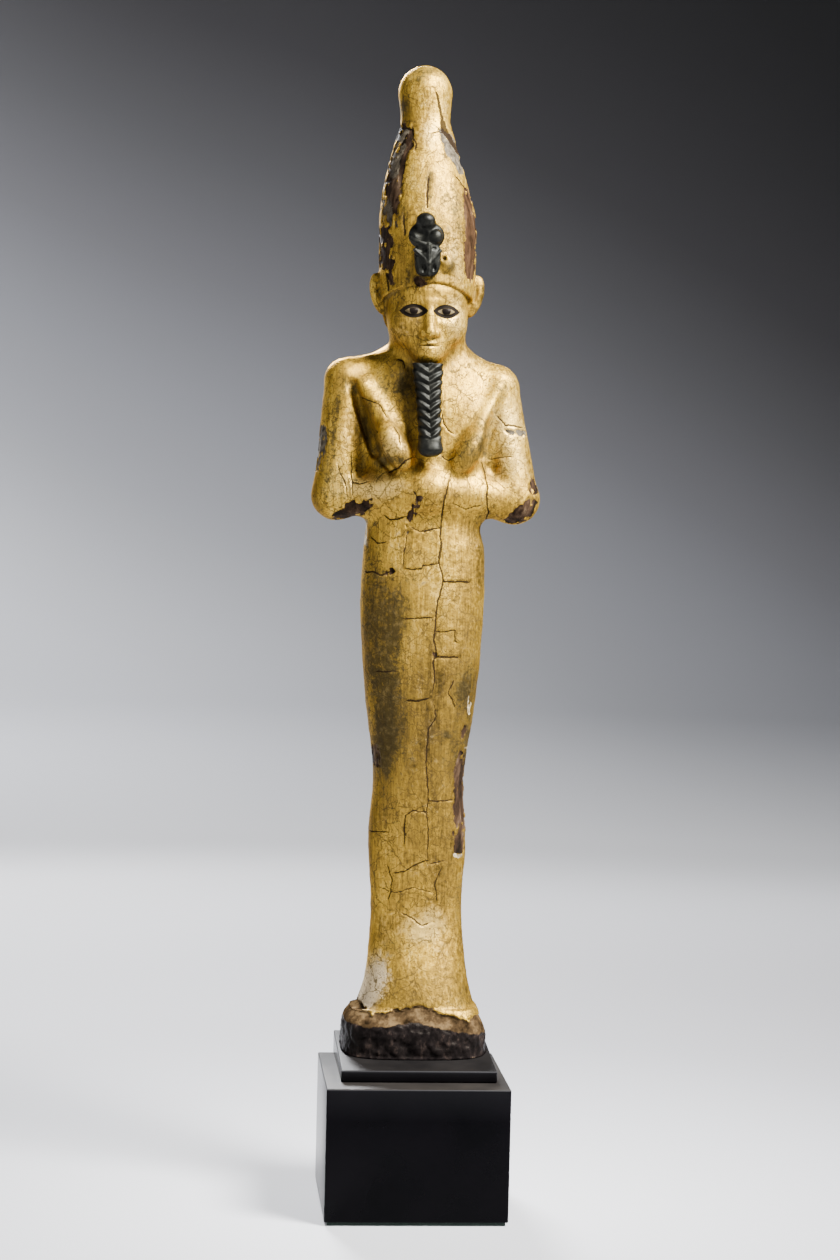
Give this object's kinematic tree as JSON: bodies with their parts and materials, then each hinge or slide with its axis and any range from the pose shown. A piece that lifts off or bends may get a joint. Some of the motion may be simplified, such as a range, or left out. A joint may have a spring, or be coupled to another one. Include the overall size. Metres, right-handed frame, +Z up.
{
  "type": "osiris figure",
  "caption": "Standing mummiform figure with a tall crown and crossed arms, carved and gilded, with a bronze cobra and plaited beard, on a black stepped plinth.",
  "frame": {"origin": "middle of the plinth's underside, which is the felt pad's lower face", "axes": "+Z up along the figure, -Y towards the figure's front, +X to the viewer's right"},
  "size_m": [0.0963, 0.076, 0.4802],
  "materials": {
    "gilded_wood": "worn gold leaf over gesso on wood",
    "bronze": "dark patinated cast bronze",
    "black_lacquer": "satin black lacquer",
    "felt": "dark green felt"
  },
  "bodies": {
    "root": {"osiris_figure": "gilded_wood", "cobra": "bronze", "beard": "bronze", "plinth_step": "black_lacquer", "plinth_block": "black_lacquer", "felt_pad": "felt"}
  },
  "joints": []
}
